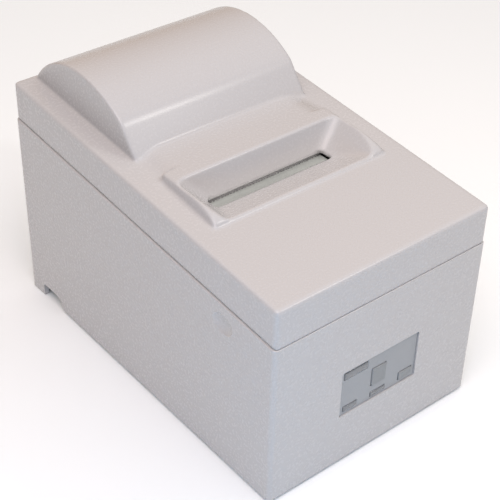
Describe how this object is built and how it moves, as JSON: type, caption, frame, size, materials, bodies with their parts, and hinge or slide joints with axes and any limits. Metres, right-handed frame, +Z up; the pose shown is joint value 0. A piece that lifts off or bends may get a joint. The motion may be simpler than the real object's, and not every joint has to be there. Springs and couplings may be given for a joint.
{
  "type": "receipt printer",
  "caption": "Impact receipt printer: sloping case with hinged domed lid, recessed paper exit with tear bar, front key panel, roll bay and print mechanism inside.",
  "frame": {"origin": "on the table under the middle of the case", "axes": "+Z up, front towards -Y, rear hinge towards +Y, +X to the right seen from the front"},
  "size_m": [0.152, 0.245, 0.1765],
  "materials": {
    "case_plastic": "light grey moulded ABS with a fine satin texture",
    "inner_plastic": "dark grey moulded plastic",
    "black_plastic": "black moulded plastic",
    "panel_grey": "mid grey panel",
    "button_grey": "darker grey key cap",
    "smoke_window": "smoked window strip",
    "rubber_black": "black rubber",
    "steel": "plated sheet steel",
    "aluminium": "bare aluminium",
    "white_nylon": "natural nylon",
    "pcb_green": "green solder mask",
    "ribbon_fabric": "inked woven ribbon"
  },
  "bodies": {
    "case": {"main_case": "case_plastic", "control_panel": "panel_grey", "status_window": "smoke_window", "power_lamp": "smoke_window", "error_lamp": "smoke_window", "panel_board": "pcb_green", "hinge_pin_left": "steel", "hinge_pin_right": "steel", "base_plate": "steel", "base_screw_front_left": "steel", "base_screw_front_right": "steel", "base_screw_rear_left": "steel", "base_screw_rear_right": "steel", "foot_front_left": "rubber_black", "foot_front_right": "rubber_black", "foot_rear_left": "rubber_black", "foot_rear_right": "rubber_black", "main_board": "pcb_green", "interface_connector": "aluminium", "power_jack": "black_plastic", "drawer_jack": "black_plastic", "smoothing_capacitor": "black_plastic", "heat_sink": "aluminium", "power_switch": "black_plastic", "inner_chassis": "steel", "side_plate_left": "steel", "side_plate_right": "steel", "guide_shaft_front": "steel", "guide_shaft_rear": "steel", "paper_tray": "inner_plastic", "paper_guide": "inner_plastic", "platen": "black_plastic", "feed_motor": "steel", "timing_belt": "rubber_black", "carriage_motor": "steel", "ribbon_cartridge": "black_plastic", "ribbon": "ribbon_fabric"},
    "cover": {"top_cover": "case_plastic", "tear_bar": "steel", "tear_bar_screw_left": "steel", "tear_bar_screw_right": "steel"},
    "feed_button": {"feed_button": "button_grey"},
    "online_button": {"online_button": "button_grey"},
    "power_rocker": {"power_rocker": "black_plastic"},
    "feed_roller": {"feed_roller": "rubber_black", "feed_gear": "white_nylon"},
    "reduction_gear": {"reduction_gear": "white_nylon"},
    "motor_pinion": {"motor_pinion": "white_nylon"},
    "pinch_roller": {"pinch_roller": "rubber_black"},
    "carriage": {"head_carriage": "black_plastic", "print_head": "aluminium"},
    "drive_pulley": {"drive_pulley": "white_nylon"},
    "idler_pulley": {"idler_pulley": "white_nylon"},
    "release_lever": {"release_lever": "black_plastic"},
    "ribbon_knob": {"ribbon_knob": "black_plastic"}
  },
  "joints": [
    {"name": "cover_hinge", "type": "hinge", "parent": "case", "child": "cover", "pos_m": [0, 0.12, 0.13], "axis": [-1, 0, 0], "range_deg": [0, 85]},
    {"name": "carriage_slide", "type": "slide", "parent": "case", "child": "carriage", "axis": [1, 0, 0], "range_m": [-0.032, 0.032]},
    {"name": "drive_pulley_spin", "type": "hinge", "parent": "case", "child": "drive_pulley", "pos_m": [-0.044, -0.077, 0.077], "axis": [0, 0, 1], "range_deg": [-280, 280]},
    {"name": "idler_pulley_spin", "type": "hinge", "parent": "case", "child": "idler_pulley", "pos_m": [0.044, -0.077, 0.077], "axis": [0, 0, 1], "range_deg": [-280, 280]},
    {"name": "feed_spin", "type": "hinge", "parent": "case", "child": "feed_roller", "pos_m": [0, -0.0155, 0.1135], "axis": [1, 0, 0], "continuous": true},
    {"name": "reduction_spin", "type": "hinge", "parent": "case", "child": "reduction_gear", "pos_m": [0.0631, -0.00481, 0.0941], "axis": [1, 0, 0], "continuous": true},
    {"name": "pinion_spin", "type": "hinge", "parent": "case", "child": "motor_pinion", "pos_m": [0.0631, -0.006, 0.079], "axis": [1, 0, 0], "continuous": true},
    {"name": "pinch_spin", "type": "hinge", "parent": "case", "child": "pinch_roller", "pos_m": [0, -0.0283, 0.1135], "axis": [1, 0, 0], "continuous": true},
    {"name": "feed_button_press", "type": "slide", "parent": "case", "child": "feed_button", "axis": [0, 1, 0], "range_m": [0, 0.0008], "stiffness_N_per_m": 400, "springref_m": -0.0005},
    {"name": "online_button_press", "type": "slide", "parent": "case", "child": "online_button", "axis": [0, 1, 0], "range_m": [0, 0.0008], "stiffness_N_per_m": 400, "springref_m": -0.0005},
    {"name": "power_rocker_tip", "type": "hinge", "parent": "case", "child": "power_rocker", "pos_m": [0.071, -0.095, 0.03], "axis": [0, -1, 0], "range_deg": [0, 16]},
    {"name": "release_lever_swing", "type": "hinge", "parent": "case", "child": "release_lever", "pos_m": [-0.063, -0.046, 0.106], "axis": [-1, 0, 0], "range_deg": [0, 25]},
    {"name": "ribbon_knob_turn", "type": "hinge", "parent": "case", "child": "ribbon_knob", "pos_m": [-0.046, -0.092, 0.1104], "axis": [0, 0, 1], "continuous": true}
  ],
  "couplings": [
    {"joint": "drive_pulley_spin", "follows": "carriage_slide", "rad_per_m": -149.25},
    {"joint": "idler_pulley_spin", "follows": "carriage_slide", "rad_per_m": -149.25},
    {"joint": "reduction_spin", "follows": "feed_spin", "ratio": -1.2},
    {"joint": "pinion_spin", "follows": "feed_spin", "ratio": 2.4},
    {"joint": "pinch_spin", "follows": "feed_spin", "ratio": -1.0169}
  ]
}
